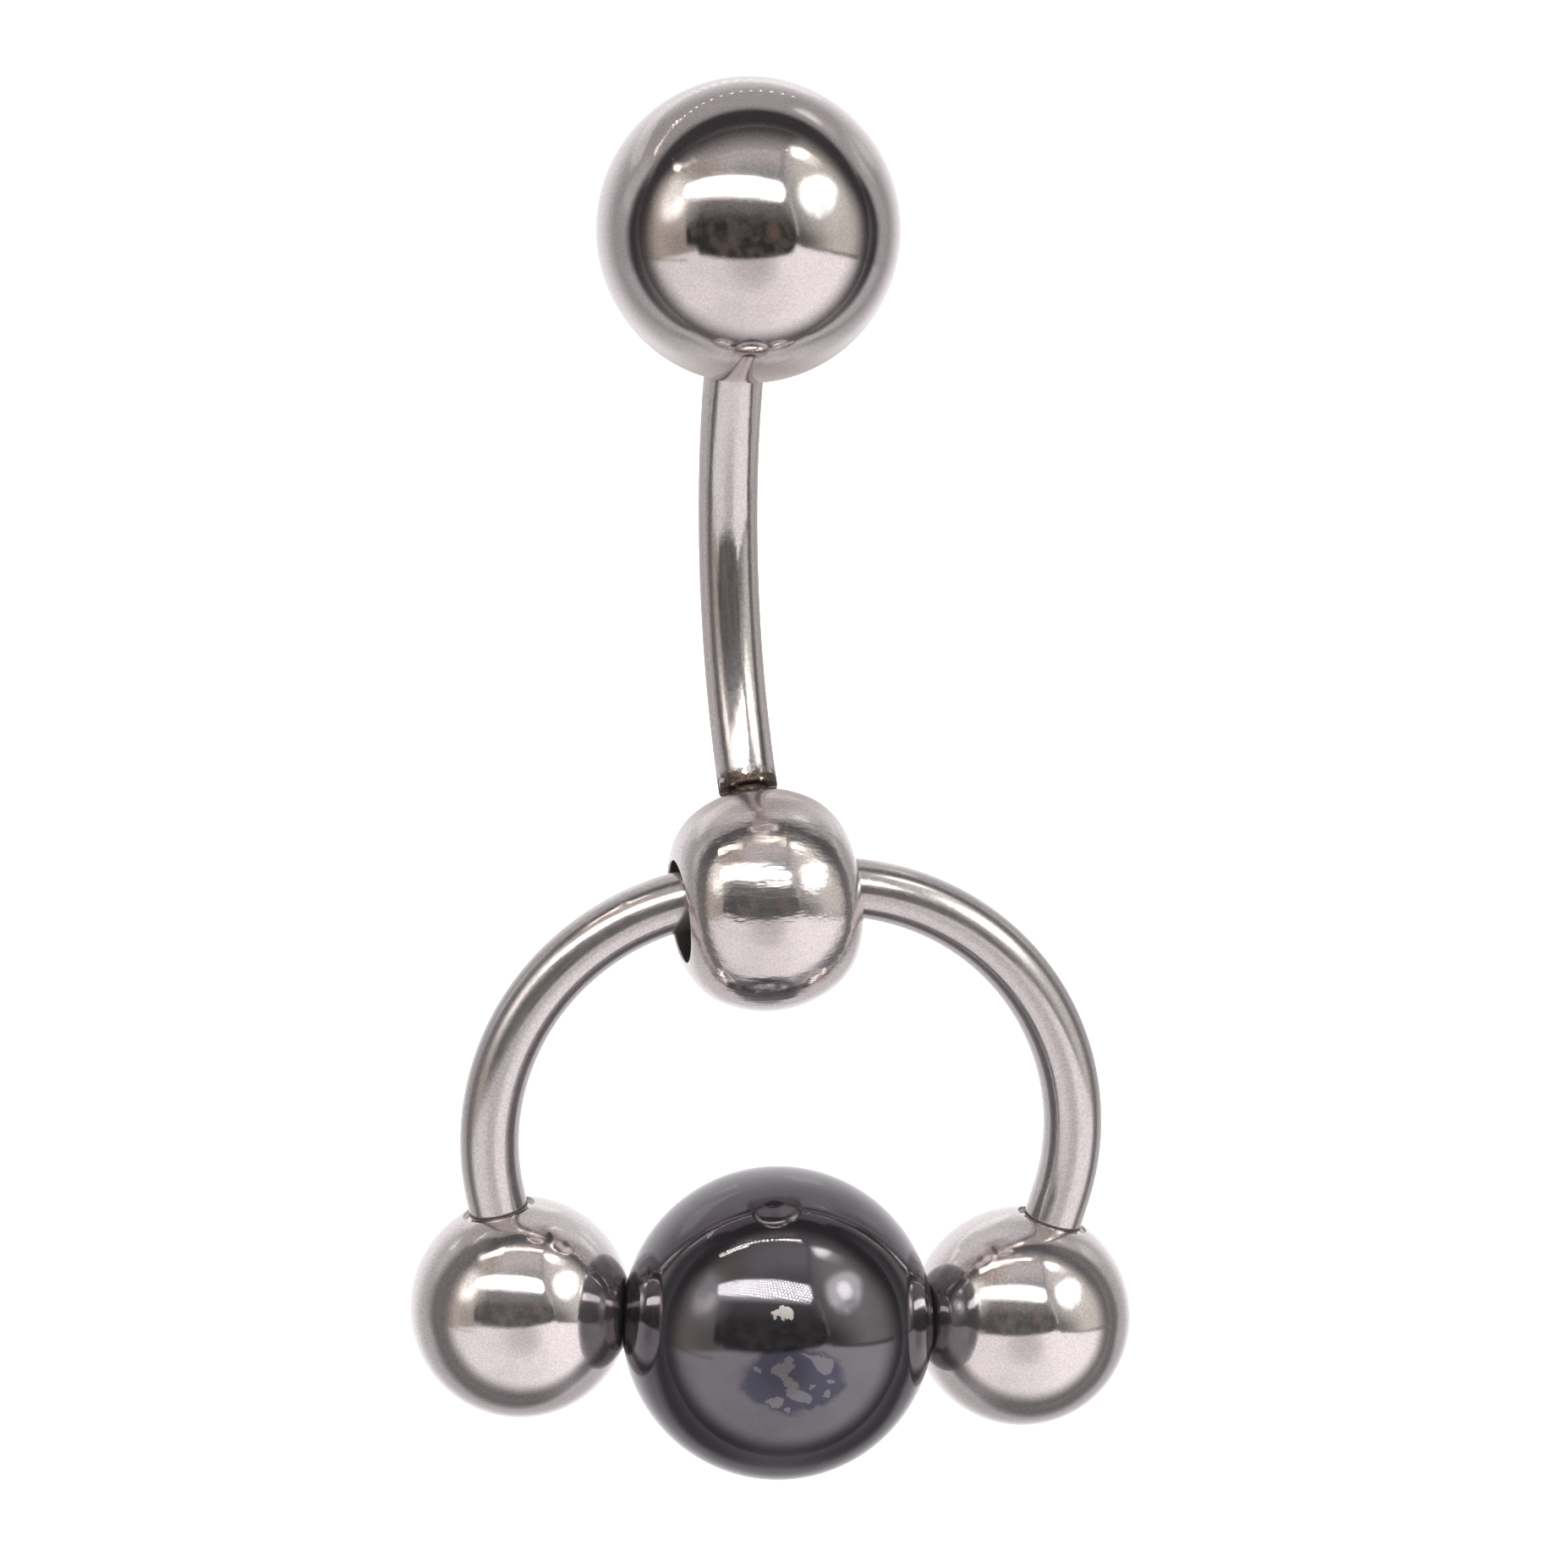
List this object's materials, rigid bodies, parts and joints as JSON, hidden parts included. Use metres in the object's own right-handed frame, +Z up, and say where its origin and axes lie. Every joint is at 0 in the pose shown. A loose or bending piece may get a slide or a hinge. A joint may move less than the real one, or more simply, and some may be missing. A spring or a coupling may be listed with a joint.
{
  "type": "navel ring",
  "caption": "Curved barbell with a large top ball; its small cross-drilled ball carries a swinging wire hoop whose end balls grip a dark polished bead.",
  "frame": {"origin": "on the table that the ring lies on, under the middle of its bounding box", "axes": "+Y from the bead towards the top ball, +X towards the right end ball, +Z up off the table"},
  "size_m": [0.0198, 0.0376, 0.0084],
  "materials": {
    "steel": "polished surgical steel, mirror bright, with fine wear",
    "hematite": "polished dark hematite, reflective, faintly mottled"
  },
  "bodies": {
    "barbell": {"bar": "steel", "top_ball": "steel", "drop_ball": "steel"},
    "hoop": {"hoop": "steel", "left_end_ball": "steel", "right_end_ball": "steel", "bead": "hematite"}
  },
  "joints": [
    {"name": "hoop_swing", "type": "hinge", "parent": "barbell", "child": "hoop", "pos_m": [-0.00028, -0.00305, 0.0037], "axis": [0.9891, 0.0994, -0.1082], "range_deg": [-150, 130]}
  ]
}
